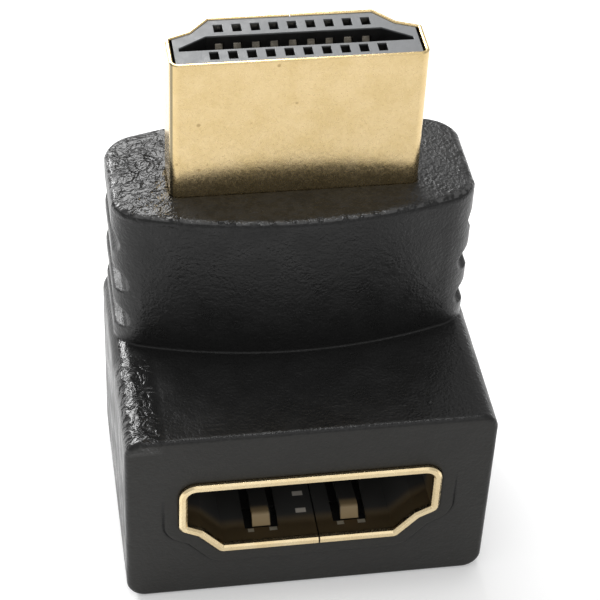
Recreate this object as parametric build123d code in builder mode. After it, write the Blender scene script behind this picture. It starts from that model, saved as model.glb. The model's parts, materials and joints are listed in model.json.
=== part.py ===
from build123d import *
import os
from math import sqrt

# A right angle digital video adapter. A plug stands up out of the upper arm of a moulded
# housing, and a socket opens out of the end face of the lower arm. Inside, both are joined
# by a small circuit board and held in line by an inner moulding.
# Sizes are in millimetres. X runs across both arms, the plug points to +Z and the socket
# faces -Y. The origin is under the middle of the part, at the height of its underside.

# Outline of the plug, drawn with its wide side up
plug_width = 13.9
plug_height = 4.45
narrow_inset = 2.4  # from each end of the width to the sharp corner of the narrow side
knee_inset = 1.3  # the same, to the inward bend of the sloping side
knee_drop = 1.0  # from the middle of the height down to those bends
side_drop = 0.45  # from the middle of the height down to the end of the straight sides
wide_corner = 0.5
side_corner = 0.7
knee_radius = 0.8
narrow_corner = 0.55

# Plug
plug_length = 8.7  # from the shoulder of the housing to the tip
plug_shell_length = 13.0  # from the tip down into the inner moulding
plug_wall = 0.22
plug_seam = 0.06
plug_edge = 0.06  # of the shell's rim
tip_inset = 0.08
insulator_side = 0.15  # room between the shell and the insulator, at each end of the width
insulator_lift = 0.92  # from the foot of the shell to the foot of its insulator
slot_side_wall = 0.28  # of the insulator, past each end of the slot
slot_taper = 1.55  # the slot's narrow side is this much shorter, at each end
slot_end = 0.3  # height of the slot's straight ends
slot_depth = 6.8

# Contacts of the plug: a row by the wide side and one less, half a pitch over, by the narrow side
contact_pitch = 1.0
hole_width = 0.5
hole_height = 0.72
hole_past = 1.2  # the holes go this much deeper than the slot
wide_wall = 0.295  # of the insulator, between the holes and the shell
narrow_wall = 0.435
wide_rib = 0.17  # between the holes and the slot, at the tip
narrow_rib = 0.33
rib_length = 0.5
spring_width = 0.4
spring_thickness = 0.18
spring_inset = 0.35  # from the tip of the insulator to the free end of a spring
spring_crest = 1.6  # from the tip to where a spring reaches furthest into the slot
spring_reach = 0.14  # past the wall of the slot there
spring_seat = 0.4  # a spring runs straight from this much before the end of the slot
spring_offset = 0.2  # its straight part lies this much outside the middle of its hole
spring_bend = 0.5
tail_length = 2.4  # along the board
tail_drop = 0.8  # from the insulator to the edge of the board

# Circuit board
board_side = 0.5  # from its edges to the plug's shell, which it reaches up into
board_thickness = 0.8
board_seat = 0.4  # thickness of the inner moulding under it

# Socket
opening_growth = 0.05  # the opening is this much larger than a plug, all round
knee_slack = 0.43  # and its inward bends lie this much further out
knee_lift = 0.1  # and this much higher
narrow_slack = 0.34  # and its narrow side ends this much further out
socket_wall = 0.3
socket_length = 10.2
rim_flange = 0.18
rim_length = 0.4
rim_proud = 0.12  # the rim stands this far out of its surround
rim_edge = 0.12
socket_seam = 0.08
socket_seam_place = 0.6  # from the middle of the narrow side
socket_base = 1.4  # thickness of the insulator's back wall
tongue_length = 6.2
tongue_play = 0.1  # the tongue is this much smaller than the slot of a plug, all round
tongue_chamfer = 0.25
blade_width = 0.45
blade_thickness = 0.15
blade_proud = 0.03
blade_inset = 0.8  # from the tip of the tongue to the end of a blade
foot_length = 1.2  # of a blade's soldered foot, along the board
feet_room = 1.44  # from the back of the socket to the board

# Spring fingers, cut out of the socket's shell and bent into the opening
finger_spread = 5.15  # between the middles of the two fingers on one side
finger_width = 1.05
finger_thickness = 0.22
finger_window = 1.95
window_front = 1.25  # from the rim to the window
window_length = 4.4
finger_rise = 0.5  # of the finger's crest above the wall
finger_crest = 0.65  # from the front of the window to the crest

# Housing. Its walls are measured from what it holds.
housing_side = 3.5  # past each end of the plug's width
housing_front = 2.925  # from the plug to the middle of the upper arm's front
housing_back = 3.225  # from the plug to the middle of the lower arm's back
socket_floor = 3.725  # under the socket's shell
socket_roof = 3.525  # above it, to the top of the lower arm
upper_height = 9.35  # from the top of the lower arm to the shoulder
crown_radius = 29.0  # of the bulging front and back, seen from above
upper_corner = 2.2  # of the upper arm, seen from above
lower_corner = 1.4
arm_step = 0.2  # the upper arm's sides and back lie this much inside the lower arm's
foot_edge = 1.1  # rounding of the edges at the underside
upper_edge = 1.0  # rounding of the edges at the top of the lower arm
face_edge = 0.3
shoulder_edge = 0.45
surround_margin = 0.8  # of the raised surround, past the socket's rim
surround_rise = 0.2  # at its lowest point, from where it runs out flush at its top
surround_line = 0.12  # width and depth of the line cut along its foot

# Grip grooves, across both narrow sides of the upper arm
groove_pitch = 2.6
groove_first = 1.65  # from the top of the lower arm to the middle of the first groove
groove_width = 1.5
groove_depth = 0.85
groove_shallow = 0.4  # depth of the top groove
groove_count = 3
groove_edge = 0.35
side_relief = 0.05  # the grooved sides lie this much inside the corners' tangents

# Inner moulding
core_wall = 1.3  # past the ends of the plug's width, and round the socket's shell
core_face_wall = 0.7  # past the front and back of the plug
core_top = 1.9  # from its upper end to the shoulder
core_floor = 1.4  # thickness of the housing under it
core_cover = 2.8  # thickness of the housing in front of its arm
core_corner = 0.8
tail_room = 0.3  # space left round the soldered tails and feet

fit = 0.02  # clearance between pieces that are assembled or moulded round each other

# Sizes that follow from the ones above
narrow_width = plug_width - 2 * narrow_inset
narrow_count = int(narrow_width / contact_pitch)
wide_count = narrow_count + 1
wide_hole = plug_height / 2 - plug_wall - fit - wide_wall - hole_height / 2
narrow_hole = plug_height / 2 - plug_wall - fit - narrow_wall - hole_height / 2
slot_wide_side = wide_hole - hole_height / 2 - wide_rib
slot_narrow_side = narrow_hole - hole_height / 2 - narrow_rib
insulator_width = plug_width - 2 * (plug_wall + insulator_side)
slot_width = insulator_width - 2 * slot_side_wall
slot_narrow_width = slot_width - 2 * slot_taper
hole_depth = slot_depth + hole_past
shell_growth = opening_growth + socket_wall
rim_growth = shell_growth + rim_flange
surround_reach = rim_growth + surround_margin
plug_insulator_length = plug_shell_length - tip_inset - insulator_lift

# Heights and places
socket_height = socket_floor + shell_growth + plug_height / 2
lower_height = socket_height + plug_height / 2 + shell_growth + socket_roof
lower_width = plug_width + 2 * housing_side
shoulder_height = lower_height + upper_height
tip_height = shoulder_height + plug_length
insulator_tip = tip_height - tip_inset
insulator_foot = insulator_tip - plug_insulator_length
shell_foot = tip_height - plug_shell_length
board_foot = core_floor + board_seat
board_top = insulator_foot - tail_drop
front_reach = plug_height / 2 + housing_front
back_reach = plug_height / 2 + housing_back
front_extent = socket_length + feet_room + board_thickness / 2
plug_y = (front_extent - back_reach) / 2
rim_y = plug_y - front_extent
end_y = rim_y + rim_proud + surround_rise
board_front = plug_y - board_thickness / 2
socket_back = rim_y + socket_length

# The plug's plane looks at its tip and the socket's plane at its mouth. In both, the wide
# side is towards local +Y.
plug_plane = Plane(origin=(0, plug_y, 0), x_dir=(-1, 0, 0), z_dir=(0, 0, 1))
socket_plane = Plane(origin=(0, rim_y, socket_height), x_dir=(1, 0, 0), z_dir=(0, -1, 0))

os.makedirs("parts", exist_ok=True)


def export(piece, name):
    """Labels a finished piece and writes it."""
    piece.part.label = name
    export_step(piece.part, f"parts/{name}.step")


def row_places(count):
    """Gives the places of a row of contacts along X."""
    return [(i - (count - 1) / 2) * contact_pitch for i in range(count)]


def strip(plane, points, bends, width, thickness):
    """Makes a metal strip that follows points of a plane, with its width across the plane.

    Each corner has its own radius of bend, and one with none is mitred.
    """
    with BuildPart() as bent:
        with BuildLine(plane) as route:
            FilletPolyline(*points, radius=bends)
        start = Plane(origin=route.line @ 0, x_dir=plane.z_dir, z_dir=route.line % 0)
        with BuildSketch(start):
            Rectangle(width, thickness)
        sweep(path=route.line, transition=Transition.RIGHT)
    return bent.part


def connector_outline(narrow_inset, knee_inset, knee_drop):
    """Draws the outline of a plug or of the opening that takes it, with its wide side up."""
    narrow = plug_width / 2 - narrow_inset
    knee = plug_width / 2 - knee_inset
    with BuildSketch() as drawn:
        with BuildLine():
            Polyline(
                (-plug_width / 2, plug_height / 2),
                (plug_width / 2, plug_height / 2),
                (plug_width / 2, -side_drop),
                (knee, -knee_drop),
                (narrow, -plug_height / 2),
                (-narrow, -plug_height / 2),
                (-knee, -knee_drop),
                (-plug_width / 2, -side_drop),
                close=True,
            )
        make_face()
        levels = drawn.vertices().group_by(Axis.Y)
        fillet(levels[3], wide_corner)
        fillet(levels[2], side_corner)
        fillet(levels[1], knee_radius)
        fillet(levels[0], narrow_corner)
    return drawn.sketch


outline = connector_outline(narrow_inset, knee_inset, knee_drop)
opening = connector_outline(narrow_inset - narrow_slack, knee_inset - knee_slack, knee_drop - knee_lift)

# Outline of the slot in the plug, and of the tongue in the socket
with BuildSketch() as slot:
    with BuildLine():
        Polyline(
            (-slot_width / 2, slot_wide_side),
            (slot_width / 2, slot_wide_side),
            (slot_width / 2, slot_wide_side - slot_end),
            (slot_narrow_width / 2, -slot_narrow_side),
            (-slot_narrow_width / 2, -slot_narrow_side),
            (-slot_width / 2, slot_wide_side - slot_end),
            close=True,
        )
    make_face()


# Plug shell: a folded sheet with its seam in the narrow side
with BuildPart() as plug_shell:
    with BuildSketch(plug_plane.offset(shell_foot)):
        add(outline)
        offset(outline, amount=-plug_wall, mode=Mode.SUBTRACT)
        with Locations((0, -plug_height / 2)):
            Rectangle(plug_seam, 3 * plug_wall, mode=Mode.SUBTRACT)
    extrude(amount=plug_shell_length)
    rim = plug_shell.faces().sort_by(Axis.Z)[-1].edges()
    chamfer(rim.filter_by(lambda edge: edge.length > 1.1 * plug_wall), plug_edge)
export(plug_shell, "plug_shell")

# Rows of the plug's contacts: places along X, local Y of the holes and side of the slot
plug_rows = [
    (row_places(wide_count), wide_hole, slot_wide_side, 1),
    (row_places(narrow_count), narrow_hole, slot_narrow_side, -1),
]

# Plug insulator: fills the shell, with the slot and a chamber behind each hole of the tip
with BuildPart() as plug_insulator:
    with BuildSketch(plug_plane.offset(insulator_foot)):
        offset(outline, amount=-plug_wall - fit)
        Rectangle(insulator_width, plug_height, mode=Mode.INTERSECT)
    extrude(amount=plug_insulator_length)
    with BuildSketch(plug_plane.offset(insulator_tip)):
        add(slot.sketch)
    extrude(amount=-slot_depth, mode=Mode.SUBTRACT)
    for places, hole, wall, side in plug_rows:
        with BuildSketch(plug_plane.offset(insulator_tip)):
            with Locations(*[(x, side * hole) for x in places]):
                Rectangle(hole_width, hole_height)
        extrude(amount=-hole_depth, mode=Mode.SUBTRACT)
        with BuildSketch(plug_plane.offset(insulator_tip - rib_length)):
            with Locations(*[(x, side * hole / 2) for x in places]):
                Rectangle(hole_width, hole)
        extrude(amount=rib_length - slot_depth, mode=Mode.SUBTRACT)
        with BuildSketch(plug_plane.offset(insulator_foot)):
            with Locations(*[(x, side * (hole + spring_offset)) for x in places]):
                Rectangle(spring_width + 2 * fit, spring_thickness + 2 * fit)
        extrude(amount=plug_insulator_length - hole_depth, mode=Mode.SUBTRACT)
export(plug_insulator, "plug_insulator")

# Plug contacts: springs that bulge into the slot, with tails soldered to both board faces
number = 0
for places, hole, wall, side in plug_rows:
    straight = hole + spring_offset
    tail = board_thickness / 2 + spring_thickness / 2
    points = [
        (side * hole, insulator_tip - spring_inset),
        (side * (wall - spring_reach), insulator_tip - spring_crest),
        (side * straight, insulator_tip - slot_depth + spring_seat),
        (side * straight, insulator_foot - spring_thickness),
        (side * tail, board_top),
        (side * tail, board_top - tail_length),
    ]
    for x in places:
        number += 1
        side_plane = Plane(origin=(x, plug_y, 0), x_dir=(0, -1, 0), z_dir=(-1, 0, 0))
        with BuildPart() as plug_contact:
            add(strip(side_plane, points, (spring_bend, 0, 0, 0), spring_width, spring_thickness))
        export(plug_contact, f"plug_contact_{number:02d}")

# Circuit board
with BuildPart() as board:
    with Locations((0, plug_y, board_foot)):
        Box(plug_width - 2 * (plug_wall + board_side), board_thickness, board_top - board_foot,
            align=(Align.CENTER, Align.CENTER, Align.MIN))
export(board, "circuit_board")

# Socket shell: a folded sheet with a turned-out rim, a seam and four spring fingers
with BuildPart() as socket_shell:
    with BuildSketch(socket_plane):
        offset(opening, amount=shell_growth)
        offset(opening, amount=opening_growth, mode=Mode.SUBTRACT)
    extrude(amount=-socket_length)
    with BuildSketch(socket_plane):
        offset(opening, amount=rim_growth)
        offset(opening, amount=opening_growth, mode=Mode.SUBTRACT)
    extrude(amount=-rim_length)
    chamfer(socket_shell.faces().sort_by(Axis.Y)[0].edges(), rim_edge)
    with BuildSketch(socket_plane):
        with Locations((socket_seam_place, -plug_height / 2)):
            Rectangle(socket_seam, 4 * rim_growth)
    extrude(amount=-socket_length, mode=Mode.SUBTRACT)
    for side in (-1, 1):
        floor = plug_height / 2 + opening_growth
        window_y = rim_y + window_front
        with Locations(*[(place * finger_spread / 2, window_y,
                          socket_height + side * floor) for place in (-1, 1)]):
            Box(finger_window, window_length, 3 * socket_wall,
                align=(Align.CENTER, Align.MIN, Align.CENTER), mode=Mode.SUBTRACT)
        crest = floor - finger_rise
        points = [
            (window_y + window_length + finger_thickness, socket_height + side * (floor + socket_wall / 2)),
            (window_y + finger_crest, socket_height + side * crest),
            (window_y + finger_thickness, socket_height + side * (floor + finger_thickness / 2)),
        ]
        for place in (-1, 1):
            side_plane = Plane(origin=(place * finger_spread / 2, 0, 0), x_dir=(0, 1, 0), z_dir=(1, 0, 0))
            add(strip(side_plane, points, (finger_thickness,), finger_width, finger_thickness))
export(socket_shell, "socket_shell")

# Rows of the socket's contacts: places along X, local Y of the tongue's face, and side
socket_rows = [
    (row_places(wide_count), slot_wide_side - tongue_play, 1),
    (row_places(narrow_count), slot_narrow_side - tongue_play, -1),
]

# Socket insulator: a back wall that closes the shell, and a tongue with a groove a blade
with BuildPart() as socket_insulator:
    with BuildSketch(socket_plane.offset(-socket_length)):
        offset(opening, amount=opening_growth - fit)
    extrude(amount=socket_base)
    with BuildSketch(socket_plane.offset(socket_base - socket_length)):
        offset(slot.sketch, amount=-tongue_play, kind=Kind.INTERSECTION)
    extrude(amount=tongue_length)
    tongue_thickness = slot_wide_side + slot_narrow_side - 2 * tongue_play
    chamfer(socket_insulator.faces().sort_by(Axis.Y)[0].edges().filter_by(Axis.X),
            min(tongue_chamfer, tongue_thickness / 3))
    for places, face, side in socket_rows:
        middle = side * (face + blade_proud - blade_thickness / 2)
        with BuildSketch(socket_plane.offset(-socket_length)):
            with Locations(*[(x, middle) for x in places]):
                Rectangle(blade_width + 2 * fit, blade_thickness + 2 * fit)
        extrude(amount=socket_base + tongue_length - blade_inset, mode=Mode.SUBTRACT)
export(socket_insulator, "socket_insulator")

# Socket contacts: flat blades along the tongue, with feet soldered to the board
number = 0
blade_end = socket_back - socket_base - tongue_length + blade_inset + fit
for places, face, side in socket_rows:
    height = socket_height + side * (face + blade_proud - blade_thickness / 2)
    foot_y = board_front - blade_thickness / 2
    points = [(foot_y, height + side * foot_length), (foot_y, height), (blade_end, height)]
    for x in places:
        number += 1
        side_plane = Plane(origin=(x, 0, 0), x_dir=(0, 1, 0), z_dir=(1, 0, 0))
        with BuildPart() as socket_contact:
            add(strip(side_plane, points, (0,), blade_width, blade_thickness))
        export(socket_contact, f"socket_contact_{number:02d}")


def core_block(growth):
    """Makes the L-shaped block of the inner moulding, grown by a distance all round."""
    low = core_floor - growth
    column_high = shoulder_height - core_top + growth
    arm_high = socket_height + plug_height / 2 + shell_growth + core_wall + growth
    front = end_y + core_cover - growth
    with BuildPart() as block:
        with BuildSketch(Plane.XY.offset(low)):
            with Locations((0, plug_y)):
                RectangleRounded(
                    plug_width + 2 * (core_wall + growth),
                    plug_height + 2 * (core_face_wall + growth),
                    core_corner + growth,
                )
        extrude(amount=column_high - low)
        with BuildSketch(Plane.XY.offset(low)):
            with Locations((0, (front + plug_y) / 2)):
                Rectangle(plug_width + 2 * (shell_growth + core_wall + growth), plug_y - front)
        extrude(amount=arm_high - low)
    return block.part


# Inner moulding: holds the plug, the board and the socket in line
with BuildPart() as inner_moulding:
    add(core_block(0))
    with BuildSketch(plug_plane.offset(shell_foot - fit)):
        offset(outline, amount=fit)
    extrude(amount=plug_shell_length, mode=Mode.SUBTRACT)
    with Locations((0, plug_y, board_foot - fit)):
        Box(plug_width - 2 * (plug_wall + board_side - fit), board_thickness + 2 * fit,
            board_top - board_foot + 2 * fit,
            align=(Align.CENTER, Align.CENTER, Align.MIN), mode=Mode.SUBTRACT)
    tails_width = (wide_count - 1) * contact_pitch + spring_width + 2 * tail_room
    tails_depth = 2 * (wide_hole + spring_offset + spring_thickness / 2 + tail_room)
    tails_low = board_top - tail_length - tail_room
    with Locations((0, plug_y, tails_low)):
        Box(tails_width, tails_depth, insulator_foot - tails_low,
            align=(Align.CENTER, Align.CENTER, Align.MIN), mode=Mode.SUBTRACT)
    with BuildSketch(socket_plane.offset(-socket_length - fit)):
        offset(opening, amount=shell_growth + fit)
    extrude(amount=socket_length, mode=Mode.SUBTRACT)
    feet_width = (wide_count - 1) * contact_pitch + blade_width + 2 * tail_room
    feet_height = 2 * (slot_wide_side + blade_thickness + foot_length + tail_room)
    with Locations((0, socket_back, socket_height)):
        Box(feet_width, board_front - socket_back, feet_height,
            align=(Align.CENTER, Align.MIN, Align.CENTER), mode=Mode.SUBTRACT)
export(inner_moulding, "inner_moulding")


def bulge(x):
    """Gives how far the crowned front and back have curved away at a distance from the middle."""
    return crown_radius - sqrt(crown_radius**2 - x**2)


def lower_arm():
    """Makes the solid lower arm, with its end face flat and its back crowned."""
    half = lower_width / 2
    back = plug_y + back_reach
    side_back = back - bulge(half)
    with BuildPart() as arm:
        with BuildSketch() as plan:
            with BuildLine():
                Polyline((half, side_back), (half, end_y), (-half, end_y), (-half, side_back))
                ThreePointArc((-half, side_back), (0, back), (half, side_back))
            make_face()
            fillet(plan.vertices().group_by(Axis.Y)[-1], lower_corner)
        extrude(amount=lower_height)
        for level, radius in ((0, foot_edge), (-1, upper_edge)):
            rim = arm.faces().sort_by(Axis.Z)[level].edges()
            fillet(rim.filter_by(lambda edge: edge.center().Y > end_y + fit), radius)
        fillet(arm.faces().sort_by(Axis.Y)[0].edges(), face_edge)
    return arm.part


def surround_slope(rise):
    """Gives a plane that leaves the end face at the top of the opening, with a rise at the foot."""
    return Plane(origin=(0, end_y, socket_height + plug_height / 2), x_dir=(1, 0, 0),
                 z_dir=(0, -plug_height - surround_reach, rise))


def surround():
    """Makes the step round the socket, proud at its foot and flush above the opening."""
    with BuildPart() as step:
        with BuildSketch(socket_plane.offset(-rim_proud)):
            offset(opening, amount=surround_reach)
        extrude(amount=-surround_rise - rim_length)
        split(bisect_by=surround_slope(surround_rise), keep=Keep.BOTTOM)
    return step.part


def foot_line():
    """Makes the line cut along the foot of the surround, which also runs out above the opening."""
    with BuildPart() as line:
        with BuildSketch(Plane(origin=(0, end_y, socket_height), x_dir=(1, 0, 0), z_dir=(0, -1, 0))):
            offset(opening, amount=surround_reach + surround_line)
            offset(opening, amount=surround_reach, mode=Mode.SUBTRACT)
        extrude(amount=-surround_line)
        split(bisect_by=surround_slope(-surround_line), keep=Keep.TOP)
    return line.part


# Housing: both arms moulded in one, round the inner moulding
with BuildPart() as housing:
    # Upper arm, from inside the lower arm to the shoulder, with a crowned front and back
    root = lower_height - 2 * upper_edge
    half = lower_width / 2 - arm_step
    front = plug_y - front_reach
    back = plug_y + back_reach - arm_step
    with BuildSketch(Plane.XY.offset(root)) as plan:
        with BuildLine():
            ThreePointArc((-half, front + bulge(half)), (0, front), (half, front + bulge(half)))
            Line((half, front + bulge(half)), (half, back - bulge(half)))
            ThreePointArc((half, back - bulge(half)), (0, back), (-half, back - bulge(half)))
            Line((-half, back - bulge(half)), (-half, front + bulge(half)))
        make_face()
        fillet(plan.vertices(), upper_corner)
    extrude(amount=shoulder_height - root)
    # Its narrow sides carry the grip grooves, drawn from the front
    edge = half - side_relief
    with BuildSketch(Plane.XZ) as grip:
        with BuildLine():
            at = (edge, root)
            for i in range(groove_count):
                middle = lower_height + groove_first + i * groove_pitch
                depth = groove_shallow if i == groove_count - 1 else groove_depth
                low, high = (edge, middle - groove_width / 2), (edge, middle + groove_width / 2)
                Line(at, low)
                ThreePointArc(low, (edge - depth, middle), high)
                at = high
            Polyline(at, (edge, shoulder_height), (0, shoulder_height), (0, root), (edge, root))
        make_face()
        rims = grip.vertices().filter_by(lambda corner: corner.X > edge - fit).sort_by(Axis.Y)
        fillet(rims[1:-1], groove_edge)
        mirror(about=Plane.YZ)
    extrude(amount=front_extent, both=True, mode=Mode.INTERSECT)
    fillet(housing.faces().sort_by(Axis.Z)[-1].edges(), shoulder_edge)
    add(lower_arm())
    add(surround())
    add(foot_line(), mode=Mode.SUBTRACT)
    # Seats of the socket, the plug and the inner moulding
    with BuildSketch(socket_plane):
        offset(opening, amount=rim_growth + fit)
    extrude(amount=-rim_length - fit, mode=Mode.SUBTRACT)
    with BuildSketch(socket_plane):
        offset(opening, amount=shell_growth + fit)
    extrude(amount=-rim_proud - surround_rise - core_cover, mode=Mode.SUBTRACT)
    with BuildSketch(plug_plane.offset(shoulder_height)):
        offset(outline, amount=fit)
    extrude(amount=-core_top, mode=Mode.SUBTRACT)
    add(core_block(fit), mode=Mode.SUBTRACT)
export(housing, "housing")
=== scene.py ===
import json
import logging
import math
from dataclasses import dataclass
from enum import Enum
from typing import Iterable, Sequence

import bmesh
import bpy
from mathutils import Matrix, Vector

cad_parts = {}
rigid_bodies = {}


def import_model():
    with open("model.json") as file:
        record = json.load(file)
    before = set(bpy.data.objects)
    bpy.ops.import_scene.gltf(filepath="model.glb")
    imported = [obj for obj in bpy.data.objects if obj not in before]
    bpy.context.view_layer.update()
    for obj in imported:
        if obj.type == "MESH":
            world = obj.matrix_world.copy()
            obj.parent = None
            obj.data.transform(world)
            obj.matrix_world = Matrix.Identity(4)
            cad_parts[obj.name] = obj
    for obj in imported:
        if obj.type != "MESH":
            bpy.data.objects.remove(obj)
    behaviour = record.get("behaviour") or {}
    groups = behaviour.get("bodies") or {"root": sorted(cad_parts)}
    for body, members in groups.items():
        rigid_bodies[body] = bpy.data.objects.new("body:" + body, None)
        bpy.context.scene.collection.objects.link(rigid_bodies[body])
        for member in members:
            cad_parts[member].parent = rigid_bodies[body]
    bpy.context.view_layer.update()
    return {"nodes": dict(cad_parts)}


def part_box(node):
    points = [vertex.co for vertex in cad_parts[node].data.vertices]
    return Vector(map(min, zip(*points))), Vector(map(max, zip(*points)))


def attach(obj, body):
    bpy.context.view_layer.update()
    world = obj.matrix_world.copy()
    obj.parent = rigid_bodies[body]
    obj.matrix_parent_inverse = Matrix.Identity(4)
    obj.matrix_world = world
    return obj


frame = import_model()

"""Looks of a right angle digital video adapter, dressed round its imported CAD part.

All lengths are in metres and all places are in the CAD frame: X runs across both arms, the
plug points to +Z and the socket faces -Y. A span is a pair of places along one axis: where a
mask starts and where it is full, or the two sides of a band.
"""

Colour = tuple[float, float, float]
Place = tuple[float, float, float]
Span = tuple[float, float]
Value = bpy.types.NodeSocket

MM = 0.001
NOISE_RANGE: Span = (0.3, 0.7)  # a noise texture mostly lies between these values
SPOT_CORE = 0.6  # share of a spot's radius inside which it is full
CLEARANCE = 10.0 * MM  # height above a node from which its surface is sought

log = logging.getLogger("adapter")


class Slot(Enum):
    """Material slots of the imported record."""

    HOUSING = "housing"
    INNER_MOULDING = "inner_moulding"
    GOLD_SHELL = "gold_shell"
    PLUG_INSULATOR = "plug_insulator"
    SOCKET_INSULATOR = "socket_insulator"
    CONTACTS = "contacts"
    CIRCUIT_BOARD = "circuit_board"


class Axis(Enum):
    """Axes of the frame."""

    X = "X"
    Y = "Y"
    Z = "Z"


class Graph:
    """A material's node tree, with short ways to add nodes and to join them."""

    def __init__(self, name: str) -> None:
        """Starts a material with one principled shader.

        Args:
            name: Name of the material.
        """
        self.material = bpy.data.materials.new(name)
        self.material.use_nodes = True
        self.tree = self.material.node_tree
        self.shader = self.tree.nodes["Principled BSDF"]
        coordinates = self.add("ShaderNodeTexCoord")
        self.place = coordinates.outputs["Object"]
        self.parts = self.add("ShaderNodeSeparateXYZ")
        self.join(self.place, self.parts.inputs["Vector"])

    def add(self, kind: str, **settings: object) -> bpy.types.Node:
        """Adds a node and sets its properties.

        Args:
            kind: Blender's name of the node type.
            **settings: Properties of the node.

        Returns:
            The node.
        """
        node = self.tree.nodes.new(kind)
        for key, value in settings.items():
            setattr(node, key, value)
        return node

    def join(self, source: Value, goal: Value) -> None:
        """Links an output to an input.

        Args:
            source: The output socket.
            goal: The input socket.
        """
        self.tree.links.new(source, goal)

    def noise(self, grain: float, detail: float = 2.0, roughness: float = 0.5,
              distortion: float = 0.0) -> Value:
        """Adds a cloudy texture in the frame's own coordinates.

        Args:
            grain: Size of its features.
            detail: Number of finer layers.
            roughness: Weight of the finer layers.
            distortion: How far the features are pulled out of shape.

        Returns:
            The socket with its value.
        """
        node = self.add("ShaderNodeTexNoise")
        self.join(self.place, node.inputs["Vector"])
        node.inputs["Scale"].default_value = 1.0 / grain
        node.inputs["Detail"].default_value = detail
        node.inputs["Roughness"].default_value = roughness
        node.inputs["Distortion"].default_value = distortion
        return node.outputs["Fac"]

    def spots(self, grain: float, reach: float) -> Value:
        """Adds scattered round spots.

        Args:
            grain: Mean distance between spots.
            reach: Radius of a spot as a share of that distance.

        Returns:
            The socket with 1 inside a spot and 0 outside.
        """
        node = self.add("ShaderNodeTexVoronoi")
        self.join(self.place, node.inputs["Vector"])
        node.inputs["Scale"].default_value = 1.0 / grain
        return self.spread(node.outputs["Distance"], (reach * SPOT_CORE, reach), 1.0, 0.0)

    def spread(self, source: Value, span: Span, to_start: float = 0.0,
               to_end: float = 1.0) -> Value:
        """Maps one range of values onto another, smoothly and held at both ends.

        Args:
            source: The value.
            span: Start and end of its range, in either order.
            to_start: What the start becomes.
            to_end: What the end becomes.

        Returns:
            The socket with the mapped value.
        """
        node = self.add("ShaderNodeMapRange", interpolation_type="SMOOTHSTEP")
        self.join(source, node.inputs["Value"])
        (low, to_low), (high, to_high) = sorted(zip(span, (to_start, to_end)))
        node.inputs["From Min"].default_value = low
        node.inputs["From Max"].default_value = high
        node.inputs["To Min"].default_value = to_low
        node.inputs["To Max"].default_value = to_high
        return node.outputs["Result"]

    def vary(self, noise: Value, low: float, high: float) -> Value:
        """Turns a cloudy texture into numbers between two limits.

        Args:
            noise: Value of the texture.
            low: Number in its hollows.
            high: Number on its tops.

        Returns:
            The socket with the number.
        """
        return self.spread(noise, NOISE_RANGE, low, high)

    def past(self, axis: Axis, span: Span, origin: float = 0.0) -> Value:
        """Masks what lies beyond a plane.

        Args:
            axis: Axis that the plane crosses.
            span: Where the mask is still 0 and where it has become 1, in either order.
            origin: Place from which the span is measured.

        Returns:
            The socket with the mask.
        """
        start, end = span
        return self.spread(self.parts.outputs[axis.value], (origin + start, origin + end))

    def band(self, axis: Axis, span: Span, soft: float, origin: float = 0.0) -> Value:
        """Masks what lies between two planes.

        Args:
            axis: Axis that the planes cross.
            span: Places of the lower and the upper plane.
            soft: Width over which the mask fades, half on each side of a plane.
            origin: Place from which the span is measured.

        Returns:
            The socket with the mask.
        """
        half = soft / 2
        low, high = span
        return self.both(self.past(axis, (low - half, low + half), origin),
                         self.past(axis, (high + half, high - half), origin))

    def bands(self, axis: Axis, spans: Iterable[Span], soft: float) -> Value:
        """Masks what lies in any of several bands.

        Args:
            axis: Axis along which they lie.
            spans: Places of the lower and the upper plane of each.
            soft: Width over which each band fades.

        Returns:
            The socket with the mask.
        """
        return self.either(*(self.band(axis, span, soft) for span in spans))

    def both(self, *masks: Value) -> Value:
        """Multiplies masks.

        Args:
            *masks: The masks.

        Returns:
            The socket with their product.
        """
        return self.fold("MULTIPLY", masks)

    def either(self, *masks: Value) -> Value:
        """Takes the highest of several masks.

        Args:
            *masks: The masks.

        Returns:
            The socket with the highest value.
        """
        return self.fold("MAXIMUM", masks)

    def fold(self, operation: str, masks: Sequence[Value]) -> Value:
        """Runs one operation along a row of values.

        Args:
            operation: Blender's name of the operation.
            masks: The values.

        Returns:
            The socket with the result.
        """
        total = masks[0]
        for mask in masks[1:]:
            node = self.add("ShaderNodeMath", operation=operation)
            self.join(total, node.inputs[0])
            self.join(mask, node.inputs[1])
            total = node.outputs[0]
        return total

    def blend(self, share: Value, first: Value, goal: float) -> Value:
        """Turns a value into a number where a mask is 1.

        Args:
            share: The mask.
            first: The value.
            goal: The number.

        Returns:
            The socket with the result.
        """
        node = self.add("ShaderNodeMix", data_type="FLOAT")
        self.join(share, node.inputs["Factor"])
        sockets = [socket for socket in node.inputs
                   if socket.type == "VALUE" and socket.name != "Factor"]
        self.join(first, sockets[0])
        sockets[1].default_value = goal
        return [socket for socket in node.outputs if socket.type == "VALUE"][0]

    def mix(self, share: Value, first: Colour | Value, second: Colour | Value) -> Value:
        """Mixes two colours.

        Args:
            share: Share of the second colour.
            first: The first colour, or a socket with it.
            second: The second colour, or a socket with it.

        Returns:
            The socket with the mixed colour.
        """
        node = self.add("ShaderNodeMix", data_type="RGBA")
        self.join(share, node.inputs["Factor"])
        sockets = [socket for socket in node.inputs if socket.type == "RGBA"]
        for socket, colour in zip(sockets, (first, second)):
            if isinstance(colour, tuple):
                socket.default_value = (*colour, 1.0)
            else:
                self.join(colour, socket)
        return [socket for socket in node.outputs if socket.type == "RGBA"][0]

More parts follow.
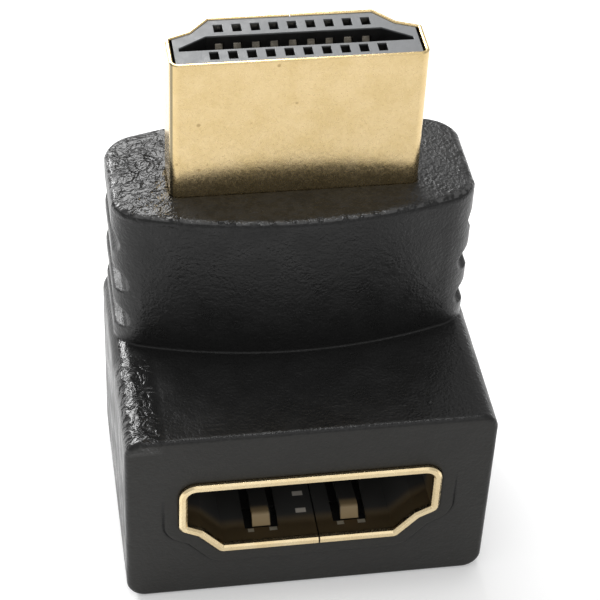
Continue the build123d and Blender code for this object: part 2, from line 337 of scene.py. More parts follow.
    def bump(self, layers: Iterable[tuple[Value, float]], rounding: float = 0.0) -> None:
        """Stacks bumps on the shader's normal.

        Args:
            layers: Height sockets, each with the height that a value of 1 stands for.
            rounding: Radius by which sharp edges look rounded, 0 for none.
        """
        normal = None
        if rounding:
            bevel = self.add("ShaderNodeBevel", samples=8)
            bevel.inputs["Radius"].default_value = rounding
            normal = bevel.outputs["Normal"]
        for height, rise in layers:
            node = self.add("ShaderNodeBump")
            node.inputs["Strength"].default_value = 1.0
            node.inputs["Distance"].default_value = rise
            self.join(height, node.inputs["Height"])
            if normal is not None:
                self.join(normal, node.inputs["Normal"])
            normal = node.outputs["Normal"]
        if normal is not None:
            self.join(normal, self.shader.inputs["Normal"])


@dataclass(frozen=True)
class HousingPlaces:
    """Where the housing's finish changes.

    Attributes:
        probe: How far behind the end face the height of the lower arm's top is taken.
        face: Fade of the end face, measured from it.
        shoulder: Fade of the shoulder, measured from its top.
        shoulder_left: Fade of the shoulder's polished left, along X.
        shoulder_right: Fade of the grainy rest of the shoulder, along X.
        arm_corner: Band of the lower arm's polished corner, measured from the arm's top.
        arm_corner_soft: Width over which that band fades.
        arm_left: Fade of that corner along X.
        arm_front: Fade of that corner along Y.
        shoulder_edge: Band of the shoulder's polished edge, measured from its top.
        arm_edge: Band of the lower arm's polished edge, measured from its top.
        edge_soft: Width over which both edges fade.
        rim: Band of the painted highlight along the shoulder's edge, measured from the shoulder's
            top.
        rim_soft: Width over which that band fades.
        rim_breaks: Values of the leathery waves between which the painted highlight begins.
    """

    probe: float = 3.0 * MM
    face: Span = (0.3 * MM, 0.15 * MM)
    shoulder: Span = (-0.5 * MM, -0.15 * MM)
    shoulder_left: Span = (-5.8 * MM, -7.2 * MM)
    shoulder_right: Span = (-7.4 * MM, -6.2 * MM)
    arm_corner: Span = (-0.7 * MM, 0.3 * MM)
    arm_corner_soft: float = 0.4 * MM
    arm_left: Span = (-8.1 * MM, -8.7 * MM)
    arm_front: Span = (-1.2 * MM, -2.0 * MM)
    shoulder_edge: Span = (-0.22 * MM, -0.03 * MM)
    arm_edge: Span = (-0.22 * MM, -0.02 * MM)
    edge_soft: float = 0.06 * MM
    rim: Span = (-0.13 * MM, -0.01 * MM)
    rim_soft: float = 0.04 * MM
    rim_breaks: Span = (0.42, 0.56)


@dataclass(frozen=True)
class HousingFinish:
    """Soft black plastic from a spark-eroded mould.

    Attributes:
        dark: Colour in the hollows of the grain.
        light: Colour on its tops.
        painted_lit_face_dark: Dark colour of the face round the socket, painted lighter than the
            rest of the housing as painted light.
        painted_lit_face_light: Light colour of that face, painted lighter in the same way.
        painted_edge_highlight: Pale colour of the painted highlight, in broken places along the
            shoulder's edge.
        shine: Level of its reflections.
        gloss: Lowest roughness.
        matt: Highest roughness.
        face_matt: Roughness of the face round the socket.
        edge_gloss: Roughness along the edges, which handling has polished.
        worn_gloss: Roughness of the polished places on the left.
        blotch: Size of the patches that differ in gloss.
        coarse: Size of the leathery waves.
        coarse_rise: Their height.
        wrinkle: Size of the wrinkles on the polished places.
        wrinkle_rise: Their height.
        granule: Size of the grains on the rest of the shoulder.
        granule_rise: Their height.
        fine: Size of the grain that lies over all.
        fine_rise: Its height.
        fine_left: Share of that height that is left on the polished places.
        crease: Radius by which creases look rounded.
        places: Where the finish changes.
    """

    dark: Colour = (0.0085, 0.0085, 0.0085)
    light: Colour = (0.0145, 0.0145, 0.0143)
    painted_lit_face_dark: Colour = (0.02, 0.0196, 0.018)
    painted_lit_face_light: Colour = (0.03, 0.0292, 0.0262)
    painted_edge_highlight: Colour = (0.06, 0.06, 0.06)
    shine: float = 0.27
    gloss: float = 0.26
    matt: float = 0.42
    face_matt: float = 0.62
    edge_gloss: float = 0.1
    worn_gloss: float = 0.2
    blotch: float = 1.6 * MM
    coarse: float = 0.5 * MM
    coarse_rise: float = 0.03 * MM
    wrinkle: float = 0.8 * MM
    wrinkle_rise: float = 0.16 * MM
    granule: float = 0.24 * MM
    granule_rise: float = 0.06 * MM
    fine: float = 0.17 * MM
    fine_rise: float = 0.034 * MM
    fine_left: float = 0.35
    crease: float = 0.22 * MM
    places: HousingPlaces = HousingPlaces()

    def build(self) -> bpy.types.Material:
        """Makes the material.

        Returns:
            The material.
        """
        graph = Graph("housing_plastic")
        places = self.places
        low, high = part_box("housing")
        arm_top = landing("housing", 0.0, low.y + places.probe).z
        face = graph.past(Axis.Y, places.face, low.y)
        shoulder = graph.past(Axis.Z, places.shoulder, high.z)
        worn = self.mask_polished(graph, shoulder, arm_top)
        edges = graph.either(
            graph.band(Axis.Z, places.shoulder_edge, places.edge_soft, high.z),
            graph.band(Axis.Z, places.arm_edge, places.edge_soft, arm_top))
        coarse = graph.noise(self.coarse, detail=2.0, roughness=0.55)
        fine = graph.noise(self.fine, detail=2.0, roughness=0.6)
        # Painted highlight: a broken pale band along the shoulder's edge.
        rim = graph.both(graph.band(Axis.Z, places.rim, places.rim_soft, high.z),
                         graph.spread(coarse, places.rim_breaks))
        body = graph.mix(rim, graph.mix(fine, self.dark, self.light), self.painted_edge_highlight)
        # Painted light: the face round the socket is painted lighter than the rest of the
        # housing, for the light that falls on it.
        colour = graph.mix(face, body, graph.mix(fine, self.painted_lit_face_dark, self.painted_lit_face_light))
        graph.join(colour, graph.shader.inputs["Base Color"])
        graph.shader.inputs["Specular IOR Level"].default_value = self.shine
        gloss = graph.vary(graph.noise(self.blotch, detail=2.0), self.gloss, self.matt)
        gloss = graph.blend(face, gloss, self.face_matt)
        gloss = graph.blend(edges, gloss, self.edge_gloss)
        gloss = graph.blend(worn, gloss, self.worn_gloss)
        graph.join(gloss, graph.shader.inputs["Roughness"])
        wrinkle = graph.both(worn, graph.noise(self.wrinkle, distortion=1.6))
        granular = graph.both(shoulder, graph.past(Axis.X, places.shoulder_right),
                              graph.noise(self.granule, detail=1.0))
        grain = graph.both(fine, graph.spread(worn, (0.0, 1.0), 1.0, self.fine_left))
        graph.bump([(coarse, self.coarse_rise), (wrinkle, self.wrinkle_rise),
                    (granular, self.granule_rise), (grain, self.fine_rise)], self.crease)
        return graph.material

    def mask_polished(self, graph: Graph, shoulder: Value, arm_top: float) -> Value:
        """Masks what handling has polished: the shoulder's left and a corner of the lower arm.

        Args:
            graph: The material's nodes.
            shoulder: Mask of the shoulder.
            arm_top: Height of the lower arm's top.

        Returns:
            The socket with the mask.
        """
        places = self.places
        corner = graph.both(
            graph.band(Axis.Z, places.arm_corner, places.arm_corner_soft, arm_top),
            graph.past(Axis.X, places.arm_left), graph.past(Axis.Y, places.arm_front))
        return graph.either(
            graph.both(shoulder, graph.past(Axis.X, places.shoulder_left)), corner)


@dataclass(frozen=True)
class GoldFinish:
    """Thin satin gold plating on folded sheet metal.

    Attributes:
        name: Name of the material.
        pale: Colour where the plating is thick.
        warm: Colour where it is worn thin.
        stain: Colour of the small marks on it.
        stain_step: Mean distance between the marks.
        stain_reach: Radius of a mark as a share of that distance.
        stain_height: Heights from which and at which the marks show in full.
        gloss: Lowest roughness.
        matt: Highest roughness.
        cloud: Size of the thick and thin areas.
        cloud_rise: Height of the waves that go with them.
        grain: Size of the sheet's grain.
        grain_rise: Its height.
        fold: Radius by which the folds look rounded.
    """

    name: str = "gold_plating"
    pale: Colour = (0.70, 0.54, 0.295)
    warm: Colour = (0.63, 0.475, 0.235)
    stain: Colour = (0.45, 0.33, 0.16)
    stain_step: float = 1.5 * MM
    stain_reach: float = 0.09
    stain_height: Span = (0.0, 20.0 * MM)
    gloss: float = 0.2
    matt: float = 0.3
    cloud: float = 1.8 * MM
    cloud_rise: float = 0.012 * MM
    grain: float = 0.22 * MM
    grain_rise: float = 0.004 * MM
    fold: float = 0.05 * MM

    def build(self) -> bpy.types.Material:
        """Makes the material.

        Returns:
            The material.
        """
        graph = Graph(self.name)
        graph.shader.inputs["Metallic"].default_value = 1.0
        cloud = graph.noise(self.cloud, detail=5.0, roughness=0.7)
        grain = graph.noise(self.grain, detail=3.0, roughness=0.7)
        plating = graph.mix(graph.vary(cloud, 0.0, 1.0), self.pale, self.warm)
        marks = graph.both(graph.spots(self.stain_step, self.stain_reach),
                           graph.past(Axis.Z, self.stain_height))
        plating = graph.mix(marks, plating, self.stain)
        graph.join(self.tint(graph, plating), graph.shader.inputs["Base Color"])
        gloss = graph.vary(grain, self.gloss, self.matt)
        graph.join(self.dull(graph, gloss), graph.shader.inputs["Roughness"])
        graph.bump([(cloud, self.cloud_rise), (grain, self.grain_rise)], self.fold)
        return graph.material

    def tint(self, graph: Graph, plating: Value) -> Value:
        """Leaves the colour of the plating as it is.

        Args:
            graph: The material's nodes.
            plating: Colour of the plating.

        Returns:
            The same colour.
        """
        return plating

    def dull(self, graph: Graph, gloss: Value) -> Value:
        """Leaves the roughness of the plating as it is.

        Args:
            graph: The material's nodes.
            gloss: Roughness of the plating.

        Returns:
            The same roughness.
        """
        return gloss


@dataclass(frozen=True)
class PlugGoldFinish(GoldFinish):
    """The plating of the plug's shell, with a painted dark reflection along its left bend.

    Attributes:
        bend: Colour of the painted dark reflection line.
        bend_line: Band of the line along X, measured from the shell's left side.
        bend_soft: Width over which the line fades.
        bend_front: Fade of the line along Y, measured from the shell's front.
    """

    bend: Colour = (0.24, 0.2, 0.12)
    bend_line: Span = (0.04 * MM, 0.17 * MM)
    bend_soft: float = 0.06 * MM
    bend_front: Span = (0.5 * MM, 0.3 * MM)

    def tint(self, graph: Graph, plating: Value) -> Value:
        """Lays the painted dark reflection line over the plating.

        Args:
            graph: The material's nodes.
            plating: Colour of the plating.

        Returns:
            The colour with the painted reflection.
        """
        low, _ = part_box("plug_shell")
        # Painted reflection: a dark line along the left bend, where the curved metal mirrors dark
        # surroundings.
        line = graph.both(graph.band(Axis.X, self.bend_line, self.bend_soft, low.x),
                          graph.past(Axis.Y, self.bend_front, low.y))
        return graph.mix(line, plating, self.bend)


@dataclass(frozen=True)
class SocketGoldFinish(GoldFinish):
    """The same plating inside the socket, with painted shade, brown behind the rim and near black
    far inside, and with painted glints.

    Depths are measured from the rim, along Y.

    Attributes:
        painted_deep_shade: Painted shade, the near black colour far inside.
        brown: Painted shade, the brown of the fingers and of the floor behind the rim.
        glint: Colour of the painted glints at the seam's small locks.
        corner_glint: Colour of the painted glints on the corners beside the fingers.
        inner_matt: Roughness behind the rim.
        matt_depth: Depths between which that roughness begins.
        brown_depth: Depths between which the brown begins.
        deep_depth: Depths between which the colour far inside begins.
        metal_depth: Depths between which the metal stops looking like metal.
        fingers: Places of the spring fingers along X.
        finger_depth: Depths between which a finger's brown ends.
        finger_soft: Width over which a finger's brown fades at its sides.
        corners: Places of the painted glints beside the fingers along X.
        corner_depth: Their nearest and farthest depth.
        lock: Place of the painted glints at the seam's locks along X.
        lock_rows: Places of those glints along Y.
        soft: Width over which corners and locks fade.
    """

    name: str = "gold_plating_socket"
    pale: Colour = (0.82, 0.68, 0.43)
    warm: Colour = (0.76, 0.6, 0.35)
    corner_glint: Colour = (0.95, 0.9, 0.75)
    painted_deep_shade: Colour = (0.034, 0.034, 0.033)
    brown: Colour = (0.25, 0.185, 0.1)
    glint: Colour = (0.5, 0.47, 0.42)
    inner_matt: float = 0.5
    matt_depth: Span = (0.3 * MM, 0.5 * MM)
    brown_depth: Span = (0.22 * MM, 0.4 * MM)
    deep_depth: Span = (1.2 * MM, 2.2 * MM)
    metal_depth: Span = (2.2 * MM, 1.2 * MM)
    fingers: tuple[Span, ...] = ((-3.2 * MM, -2.1 * MM), (2.1 * MM, 3.2 * MM))
    finger_depth: Span = (2.6 * MM, 2.1 * MM)
    finger_soft: float = 0.05 * MM
    corners: tuple[Span, ...] = ((-3.4 * MM, -3.05 * MM), (-2.15 * MM, -1.7 * MM),
                                 (1.8 * MM, 2.2 * MM), (3.0 * MM, 3.45 * MM))
    corner_depth: Span = (0.95 * MM, 1.22 * MM)
    lock: Span = (-0.45 * MM, 0.15 * MM)
    lock_rows: tuple[Span, ...] = ((-5.25 * MM, -4.9 * MM), (-6.6 * MM, -6.25 * MM))
    soft: float = 0.04 * MM

    def tint(self, graph: Graph, plating: Value) -> Value:
        """Paints shade into the plating inwards and glints beside the fingers and at the seam,
        and leaves the fingers brown.

        Args:
            graph: The material's nodes.
            plating: Colour of the plating.

        Returns:
            The colour with its painted shade and glints.
        """
        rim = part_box("socket_shell")[0].y
        fingers = graph.both(graph.bands(Axis.X, self.fingers, self.finger_soft),
                             graph.past(Axis.Y, self.finger_depth, rim))
        # Painted glints: pale patches on the corners beside the fingers, in front of their
        # windows.
        corners = graph.both(graph.bands(Axis.X, self.corners, self.soft),
                             graph.band(Axis.Y, self.corner_depth, self.soft, rim))
        # Painted glints: two small pale patches at the seam's locks.
        locks = graph.both(graph.band(Axis.X, self.lock, self.soft),
                           graph.bands(Axis.Y, self.lock_rows, self.soft))
        # Painted shade: behind the rim the plating is painted brown, and the fingers keep that
        # brown.
        shaded_plating = graph.mix(graph.past(Axis.Y, self.brown_depth, rim), plating, self.brown)
        # Painted shade: far inside, the plating is painted near black.
        colour = graph.mix(graph.past(Axis.Y, self.deep_depth, rim), shaded_plating, self.painted_deep_shade)
        colour = graph.mix(fingers, colour, shaded_plating)
        colour = graph.mix(corners, colour, self.corner_glint)
        return graph.mix(locks, colour, self.glint)

    def dull(self, graph: Graph, gloss: Value) -> Value:
        """Makes the inside rougher than the rim, and no longer metallic far inside.

        Args:
            graph: The material's nodes.
            gloss: Roughness of the plating.

        Returns:
            The roughness.
        """
        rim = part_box("socket_shell")[0].y
        metal = graph.past(Axis.Y, self.metal_depth, rim)
        graph.join(metal, graph.shader.inputs["Metallic"])
        return graph.blend(graph.past(Axis.Y, self.matt_depth, rim), gloss, self.inner_matt)


@dataclass(frozen=True)
class MouldedFinish:
    """Plain moulded plastic of an insulator or of the inner moulding.

    Attributes:
        name: Name of the material.
        first: Main colour.
        second: Colour that clouds it.
        gloss: Lowest roughness.
        matt: Highest roughness.
        cloud: Size of the clouds.
        cloud_rise: Height of the waves that go with them.
        grain: Size of the grain.
        grain_rise: Its height.
        edge: Radius by which sharp edges look rounded.
    """

    name: str
    first: Colour
    second: Colour
    gloss: float = 0.38
    matt: float = 0.55
    cloud: float = 0.7 * MM
    cloud_rise: float = 0.02 * MM
    grain: float = 0.09 * MM
    grain_rise: float = 0.006 * MM
    edge: float = 0.04 * MM

    def build(self) -> bpy.types.Material:
        """Makes the material.

        Returns:
            The material.
        """
        graph = Graph(self.name)
        cloud = graph.noise(self.cloud, detail=4.0, roughness=0.7)
        grain = graph.noise(self.grain, detail=1.0)
        colour = self.tint(graph, graph.mix(cloud, self.first, self.second))
        graph.join(colour, graph.shader.inputs["Base Color"])
        graph.join(graph.vary(cloud, self.gloss, self.matt), graph.shader.inputs["Roughness"])
        graph.bump([(cloud, self.cloud_rise), (grain, self.grain_rise)], self.edge)
        return graph.material

    def tint(self, graph: Graph, colour: Value) -> Value:
        """Leaves the colour as it is.

        Args:
            graph: The material's nodes.
            colour: The plastic's colour.

        Returns:
            The same colour.
        """
        return colour


@dataclass(frozen=True)
class TipFinish(MouldedFinish):
    """Grey plastic of the plug's insulator, with painted shade that makes its slot and holes near
    black.

    Attributes:
        slot_shade: Colour of the painted shade.
        slot_shade_depth: Fade of the painted shade, measured from the tip.
    """

    slot_shade: Colour = (0.008, 0.008, 0.0082)
    slot_shade_depth: Span = (-0.04 * MM, -0.12 * MM)

    def tint(self, graph: Graph, colour: Value) -> Value:
        """Paints shade into the plastic below the tip.

        Args:
            graph: The material's nodes.
            colour: The plastic's colour.

        Returns:
            The colour with the painted shade.
        """
        _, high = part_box("plug_insulator")
        # Painted shade: below the tip the slot and holes are painted near black.
        return graph.mix(graph.past(Axis.Z, self.slot_shade_depth, high.z), colour, self.slot_shade)


@dataclass(frozen=True)
class ContactFinish:
    """Stamped copper alloy with a thin flash of gold.

    Attributes:
        bright: Colour on the plated areas.
        dull: Colour where the alloy shows through.
        shade_below_tip: Painted shade, the colour of the contacts below the plug's tip, which are
            the plug's springs below their ends and all of the socket's contacts.
        shade_below_tip_depth: Fade of the painted shade, measured from the plug's tip.
        gloss: Lowest roughness.
        matt: Highest roughness.
        cloud: Size of the plated areas.
        grain: Size of the grain.
        grain_rise: Its height.
    """

    bright: Colour = (0.86, 0.82, 0.72)
    dull: Colour = (0.62, 0.56, 0.45)
    shade_below_tip: Colour = (0.12, 0.108, 0.088)
    shade_below_tip_depth: Span = (-0.55 * MM, -0.8 * MM)
    gloss: float = 0.2
    matt: float = 0.4
    cloud: float = 0.5 * MM
    grain: float = 0.12 * MM
    grain_rise: float = 0.004 * MM

    def build(self) -> bpy.types.Material:
        """Makes the material.

        Returns:
            The material.
        """
        graph = Graph("contact_metal")
        _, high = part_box("plug_insulator")
        graph.shader.inputs["Metallic"].default_value = 1.0
        cloud = graph.noise(self.cloud, detail=3.0)
        # Painted shade: contacts are painted dark below the plug's tip, down in the slot and
        # inside the socket.
        below = graph.past(Axis.Z, self.shade_below_tip_depth, high.z)
        colour = graph.mix(below, graph.mix(cloud, self.bright, self.dull), self.shade_below_tip)
        graph.join(colour, graph.shader.inputs["Base Color"])
        graph.join(graph.vary(cloud, self.gloss, self.matt), graph.shader.inputs["Roughness"])
        graph.bump([(graph.noise(self.grain), self.grain_rise)])
        return graph.material


@dataclass(frozen=True)
class BoardFinish:
    """Green lacquer over woven glass laminate.

    Attributes:
        lacquer: Colour of the lacquer.
        weave_light: Colour where the weave shows.
        gloss: Roughness of the lacquer.
        weave: Width of a strand of the weave.
        weave_pull: How far the strands run out of line.
        weave_rise: Height of the strands.
    """

    lacquer: Colour = (0.02, 0.13, 0.05)
    weave_light: Colour = (0.04, 0.2, 0.08)
    gloss: float = 0.3
    weave: float = 2.0 * MM
    weave_pull: float = 1.5
    weave_rise: float = 0.004 * MM

    def build(self) -> bpy.types.Material:
        """Makes the material.

        Returns:
            The material.
        """
        graph = Graph("board_lacquer")
        weave = graph.add("ShaderNodeTexWave", bands_direction="X")
        graph.join(graph.place, weave.inputs["Vector"])
        weave.inputs["Scale"].default_value = 1.0 / self.weave
        weave.inputs["Distortion"].default_value = self.weave_pull
        strands = weave.outputs["Fac"]
        graph.join(graph.mix(strands, self.lacquer, self.weave_light),
                   graph.shader.inputs["Base Color"])
        graph.shader.inputs["Roughness"].default_value = self.gloss
        graph.bump([(strands, self.weave_rise)])
        return graph.material


def make_finishes() -> dict[Slot, bpy.types.Material]:
    """Makes the finish of each material slot.

    Returns:
        The materials by slot. The socket's shell has a variant of its own, with painted shade
        inside.
    """
    return {
        Slot.HOUSING: HousingFinish().build(),
        Slot.INNER_MOULDING: MouldedFinish(
            name="inner_moulding_plastic",
            first=(0.008, 0.008, 0.008),
            second=(0.014, 0.014, 0.014)).build(),
        Slot.GOLD_SHELL: PlugGoldFinish().build(),
        Slot.PLUG_INSULATOR: TipFinish(
            name="plug_insulator_plastic",
            first=(0.09, 0.094, 0.098),
            second=(0.165, 0.17, 0.175)).build(),
        Slot.SOCKET_INSULATOR: MouldedFinish(
            name="socket_insulator_plastic",
            first=(0.05, 0.05, 0.05),
            second=(0.065, 0.065, 0.065)).build(),
        Slot.CONTACTS: ContactFinish().build(),
        Slot.CIRCUIT_BOARD: BoardFinish().build(),
    }


def dress(nodes: Iterable[str], material: bpy.types.Material) -> None:
    """Gives CAD nodes a material.

    Args:
        nodes: Names of the nodes.
        material: The material.
    """
    for name in nodes:
        slots = frame["nodes"][name].data.materials
        slots.clear()
        slots.append(material)


def numbered(stem: str, count: int) -> list[str]:
    """Names the nodes of a numbered row.

    Args:
        stem: Start of each name.
        count: Number of nodes.

    Returns:
        The names.
    """
    return [f"{stem}_{number:02d}" for number in range(1, count + 1)]


def landing(node: str, x: float, y: float) -> Vector:
    """Finds the highest point of a node above a place on the floor.

    Args:
        node: Name of the node.
        x: X of the place.
        y: Y of the place.

    Returns:
        The point on the node's surface.

    Raises:
        ValueError: If no part of the node lies over the place.
    """
    start = Vector((x, y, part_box(node)[1].z + CLEARANCE))
    found, place, _, _ = frame["nodes"][node].ray_cast(start, Vector((0.0, 0.0, -1.0)))
    if not found:
        raise ValueError(f"nothing of {node} lies at {x}, {y}")
    return place


@dataclass
class Plug:
    """The plug: plated shell, insulator and spring contacts.

    Attributes:
        contact_count: Number of contacts.
    """

    contact_count: int = 19

    def build(self, finishes: dict[Slot, bpy.types.Material]) -> None:
        """Dresses the plug's nodes.

        Args:
            finishes: The materials by slot.
        """
        dress(["plug_shell"], finishes[Slot.GOLD_SHELL])
        dress(["plug_insulator"], finishes[Slot.PLUG_INSULATOR])
        dress(numbered("plug_contact", self.contact_count), finishes[Slot.CONTACTS])
        log.info("plug: shell, insulator and %d contacts", self.contact_count)


@dataclass
class Socket:
    """The socket: plated shell with its fingers, insulator with its tongue, and contacts.

    Attributes:
        contact_count: Number of contacts.
    """

    contact_count: int = 19

    def build(self, finishes: dict[Slot, bpy.types.Material]) -> None:
        """Dresses the socket's nodes.

        Args:
            finishes: The materials by slot.
        """
        dress(["socket_shell"], SocketGoldFinish().build())
        dress(["socket_insulator"], finishes[Slot.SOCKET_INSULATOR])
        dress(numbered("socket_contact", self.contact_count), finishes[Slot.CONTACTS])
        log.info("socket: shell, insulator and %d contacts", self.contact_count)


@dataclass(frozen=True)
class Ridge:
    """A low rounded ridge along an arc.

    Attributes:
        radius: Radius of the arc.
        start: Where it starts, in degrees from +X.
        sweep: How far it runs, in degrees.
        width: Width of the ridge.
        height: Its height.
        steps: Number of steps along the arc.
        sides: Number of sides of its cross-section.
        taper: Length of the arc divided by that of one tapered end.
        tip: Share of the taper at which an end is cut off.
    """

    radius: float
    start: float
    sweep: float
    width: float
    height: float
    steps: int = 28
    sides: int = 6
    taper: float = 3.0
    tip: float = 0.02

    def add(self, shape: bmesh.types.BMesh, centre: Vector) -> None:
        """Adds the ridge to a mesh, with both ends run out almost to a point.

        Args:
            shape: The mesh.
            centre: Centre of the arc, on the surface that carries it.
        """
        rows = [self.add_row(shape, centre, step / self.steps) for step in range(self.steps + 1)]
        for one, two in zip(rows, rows[1:]):
            for side in range(self.sides):
                beyond = (side + 1) % self.sides
                shape.faces.new((one[side], two[side], two[beyond], one[beyond]))
        shape.faces.new(rows[0])
        shape.faces.new(rows[-1][::-1])

    def add_row(self, shape: bmesh.types.BMesh, centre: Vector,
                share: float) -> list[bmesh.types.BMVert]:
        """Adds the corners of one cross-section.

        Args:
            shape: The mesh.
            centre: Centre of the arc.
            share: How far along the arc it stands, from 0 to 1.

        Returns:
            The corners in order.
        """
        angle = math.radians(self.start + self.sweep * share)
        rise = min(1.0, max(self.tip, min(share, 1.0 - share) * self.taper))
        size = math.sin(math.pi * rise / 2)
        row = []
        for side in range(self.sides):
            turn = 2 * math.pi * side / self.sides
            reach = self.radius + self.width / 2 * size * math.cos(turn)
            row.append(shape.verts.new(centre + Vector((
                reach * math.cos(angle), reach * math.sin(angle),
                self.height * size * math.sin(turn)))))
        return row


@dataclass
class Body:
    """The black housing with what is moulded into it.

    Attributes:
        mark_x: X of the ejector mark on the left of the shoulder.
        mark_y: Its Y.
        mark_ridges: The ridges that the ejector left round it.
        nib_x: X of the moulding nib on the lower arm.
        nib_y: Its Y.
        nib_width: Width of the nib.
        nib_height: Height of the nib.
    """

    mark_x: float = -8.16 * MM
    mark_y: float = 4.2 * MM
    mark_ridges: tuple[Ridge, ...] = (
        Ridge(radius=0.92 * MM, start=-30.0, sweep=130.0, width=0.13 * MM, height=0.05 * MM),
        Ridge(radius=0.66 * MM, start=-55.0, sweep=150.0, width=0.09 * MM, height=0.04 * MM),
        Ridge(radius=0.84 * MM, start=150.0, sweep=110.0, width=0.12 * MM, height=0.045 * MM),
        Ridge(radius=0.42 * MM, start=120.0, sweep=130.0, width=0.09 * MM, height=0.035 * MM),
    )
    nib_x: float = 6.74 * MM
    nib_y: float = -6.9 * MM
    nib_width: float = 0.3 * MM
    nib_height: float = 0.12 * MM

    def build(self, finishes: dict[Slot, bpy.types.Material]) -> None:
        """Dresses the housing, the inner moulding and the board, and adds the mould marks.

        Args:
            finishes: The materials by slot.
        """
        dress(["housing"], finishes[Slot.HOUSING])
        dress(["inner_moulding"], finishes[Slot.INNER_MOULDING])
        dress(["circuit_board"], finishes[Slot.CIRCUIT_BOARD])
        log.info("body: housing, inner moulding and board")
        self.build_mark(finishes[Slot.HOUSING])
        self.build_nib(finishes[Slot.HOUSING])

    def build_mark(self, plastic: bpy.types.Material) -> None:
        """Makes the ejector mark.

        Args:
            plastic: Its finish.
        """
        shape = bmesh.new()
        centre = landing("housing", self.mark_x, self.mark_y)
        for ridge in self.mark_ridges:
            ridge.add(shape, centre)
        self.place("ejector_mark", shape, plastic)

    def build_nib(self, plastic: bpy.types.Material) -> None:
        """Makes the nib that the mould's gate left.

        Args:
            plastic: Its finish.
        """
        shape = bmesh.new()
        bmesh.ops.create_uvsphere(shape, u_segments=16, v_segments=10, radius=1.0)
        size = Matrix.Diagonal((self.nib_width / 2, self.nib_width / 2, self.nib_height, 1.0))
        place = Matrix.Translation(landing("housing", self.nib_x, self.nib_y))
        bmesh.ops.transform(shape, matrix=place @ size, verts=shape.verts)
        self.place("gate_nib", shape, plastic)

    def place(self, name: str, shape: bmesh.types.BMesh, plastic: bpy.types.Material) -> None:
        """Turns a mesh into a smooth piece of the housing.

        Args:
            name: Name of the piece.
            shape: The mesh, which is freed.
            plastic: Its finish.
        """
        bmesh.ops.recalc_face_normals(shape, faces=shape.faces)
        mesh = bpy.data.meshes.new(name)
        shape.to_mesh(mesh)
        shape.free()
        mesh.shade_smooth()
        mesh.materials.append(plastic)
        piece = bpy.data.objects.new(name, mesh)
        bpy.context.scene.collection.objects.link(piece)
        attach(piece, "root")
        log.info("body: %s with %d faces", name, len(mesh.polygons))


@dataclass(frozen=True)
class SoftLight:
    """A square lamp that shines at one point.

    Attributes:
        name: Name of the lamp.
        place: Where it stands.
        side: Length of its side.
        power: Its power in watts.
    """

    name: str
    place: Place
    side: float
    power: float

    def build(self, goal: Vector) -> None:
        """Makes the lamp.

        Args:
            goal: The point that it shines at.
        """
        lamp = bpy.data.lights.new(self.name, "AREA")
        lamp.shape = "SQUARE"
        lamp.size = self.side
        lamp.energy = self.power
        made = bpy.data.objects.new(self.name, lamp)
        made.location = self.place
        made.rotation_euler = (goal - Vector(self.place)).to_track_quat("-Z", "Y").to_euler()
        bpy.context.scene.collection.objects.link(made)


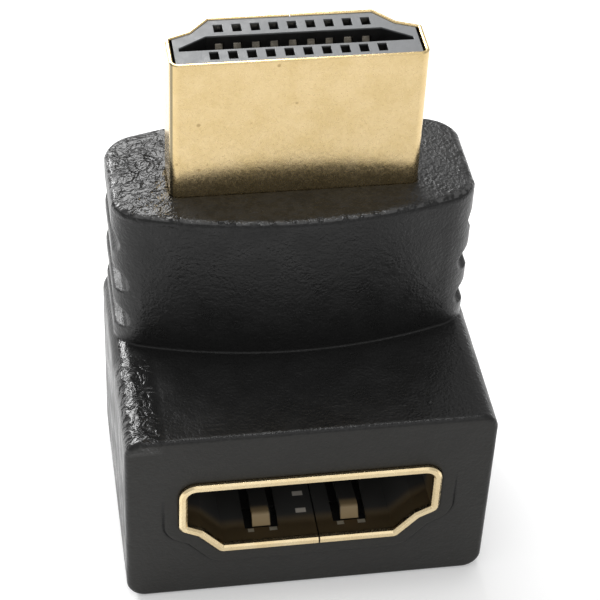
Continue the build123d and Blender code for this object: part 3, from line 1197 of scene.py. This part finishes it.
@dataclass
class Studio:
    """Floor, surroundings, lamps and camera.

    Attributes:
        floor_side: Side of the square floor.
        floor_colour: Colour of the floor.
        floor_change: How much paler the floor's pale areas are.
        floor_cloud: Size of those areas.
        floor_matt: Roughness of the floor.
        floor_shine: Level of its reflections.
        floor_lift: White added to the floor's picture, for a plain white ground.
        surround: Brightness of the white surroundings.
        lamps: The lamps.
        lit: The point that the lamps shine at.
        azimuth: Turn of the view round +Z, in degrees, 0 looking along +Y.
        elevation: Height of the view, in degrees.
        roll: Turn of the picture, in degrees.
        distance: From the point looked at to the camera.
        goal_x: X of the point looked at.
        goal_z: Z of the point looked at.
        lens: Focal length in millimetres.
        sensor: Width of the camera's sensor in millimetres.
        near: Distance at which the camera begins to see.
    """

    floor_side: float = 1.6
    floor_colour: Colour = (0.86, 0.86, 0.86)
    floor_change: float = 0.01
    floor_cloud: float = 40.0 * MM
    floor_matt: float = 0.9
    floor_shine: float = 0.1
    floor_lift: float = 0.2
    surround: float = 0.66
    lamps: tuple[SoftLight, ...] = (
        SoftLight(name="lamp_back_left", place=(-0.16, 0.24, 0.17), side=0.12, power=0.9),
        SoftLight(name="lamp_back", place=(-0.010, 0.121, 0.113), side=0.06, power=0.11),
        SoftLight(name="lamp_above", place=(0.02, 0.02, 0.3), side=0.06, power=0.14),
        SoftLight(name="lamp_front", place=(0.05, -0.35, 0.45), side=0.4, power=0.3),
    )
    lit: Place = (0.0, 0.0, 0.012)
    azimuth: float = -10.697
    elevation: float = 41.096
    roll: float = 3.017
    distance: float = 121.56 * MM
    goal_x: float = 1.0 * MM
    goal_z: float = 11.685 * MM
    lens: float = 123.071
    sensor: float = 36.0
    near: float = 5.0 * MM

    def build(self) -> None:
        """Makes the whole studio."""
        self.build_floor()
        self.build_surroundings()
        for lamp in self.lamps:
            lamp.build(Vector(self.lit))
        self.build_camera()
        log.info("studio: floor, surroundings, %d lamps and camera", len(self.lamps))

    def build_floor(self) -> None:
        """Makes the floor, which pictures as white and takes the part's shadow."""
        half = self.floor_side / 2
        mesh = bpy.data.meshes.new("floor")
        outline = [(-half, -half, 0.0), (half, -half, 0.0), (half, half, 0.0), (-half, half, 0.0)]
        mesh.from_pydata(outline, [], [(0, 1, 2, 3)])
        floor = bpy.data.objects.new("floor", mesh)
        bpy.context.scene.collection.objects.link(floor)
        mesh.materials.append(self.make_paper())

    def make_paper(self) -> bpy.types.Material:
        """Makes the floor's finish: pale matt paper, lifted to white where it is seen.

        Returns:
            The material.
        """
        graph = Graph("floor_paper")
        paler = tuple(part + self.floor_change for part in self.floor_colour)
        graph.join(graph.mix(graph.noise(self.floor_cloud), self.floor_colour, paler),
                   graph.shader.inputs["Base Color"])
        graph.shader.inputs["Roughness"].default_value = self.floor_matt
        graph.shader.inputs["Specular IOR Level"].default_value = self.floor_shine
        path = graph.add("ShaderNodeLightPath")
        seen = graph.either(*(path.outputs[f"Is {kind} Ray"]
                              for kind in ("Camera", "Glossy", "Transmission")))
        lift = graph.add("ShaderNodeEmission")
        graph.join(graph.spread(seen, (0.0, 1.0), 0.0, self.floor_lift), lift.inputs["Strength"])
        total = graph.add("ShaderNodeAddShader")
        graph.join(graph.shader.outputs["BSDF"], total.inputs[0])
        graph.join(lift.outputs["Emission"], total.inputs[1])
        graph.join(total.outputs["Shader"], graph.tree.nodes["Material Output"].inputs["Surface"])
        return graph.material

    def build_surroundings(self) -> None:
        """Makes the white surroundings."""
        world = bpy.data.worlds.new("surroundings")
        world.use_nodes = True
        background = world.node_tree.nodes["Background"]
        background.inputs["Color"].default_value = (1.0, 1.0, 1.0, 1.0)
        background.inputs["Strength"].default_value = self.surround
        bpy.context.scene.world = world
        bpy.context.scene.view_settings.view_transform = "Standard"

    def camera_axes(self) -> tuple[Vector, Vector, Vector]:
        """Works out the camera's axes.

        Returns:
            The directions to its right, up and back.
        """
        azimuth, elevation, roll = (
            math.radians(angle) for angle in (self.azimuth, self.elevation, self.roll))
        back = Vector((math.sin(azimuth) * math.cos(elevation),
                       -math.cos(azimuth) * math.cos(elevation), math.sin(elevation)))
        level = Vector((math.cos(azimuth), math.sin(azimuth), 0.0))
        rise = back.cross(level)
        right = level * math.cos(roll) + rise * math.sin(roll)
        up = rise * math.cos(roll) - level * math.sin(roll)
        return right, up, back

    def build_camera(self) -> None:
        """Makes the camera at the photograph's place."""
        low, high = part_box("plug_shell")
        goal = Vector((self.goal_x, (low.y + high.y) / 2, self.goal_z))
        right, up, back = self.camera_axes()
        lens = bpy.data.cameras.new("camera")
        lens.sensor_width = self.sensor
        lens.lens = self.lens
        lens.clip_start = self.near
        camera = bpy.data.objects.new("camera", lens)
        turn = Matrix((right, up, back)).transposed().to_4x4()
        camera.matrix_world = Matrix.Translation(goal + back * self.distance) @ turn
        bpy.context.scene.collection.objects.link(camera)
        bpy.context.scene.camera = camera


def corners(bounds: Sequence[Vector]) -> list[list[float]]:
    """Turns a box into plain lists.

    Args:
        bounds: Lowest and highest corner.

    Returns:
        The two corners as lists of numbers.
    """
    return [list(corner) for corner in bounds]


def main() -> None:
    """Builds every piece in order."""
    finishes = make_finishes()
    Body().build(finishes)
    Plug().build(finishes)
    Socket().build(finishes)
    Studio().build()


if __name__ == "__main__":
    logging.basicConfig(level=logging.INFO)
    main()
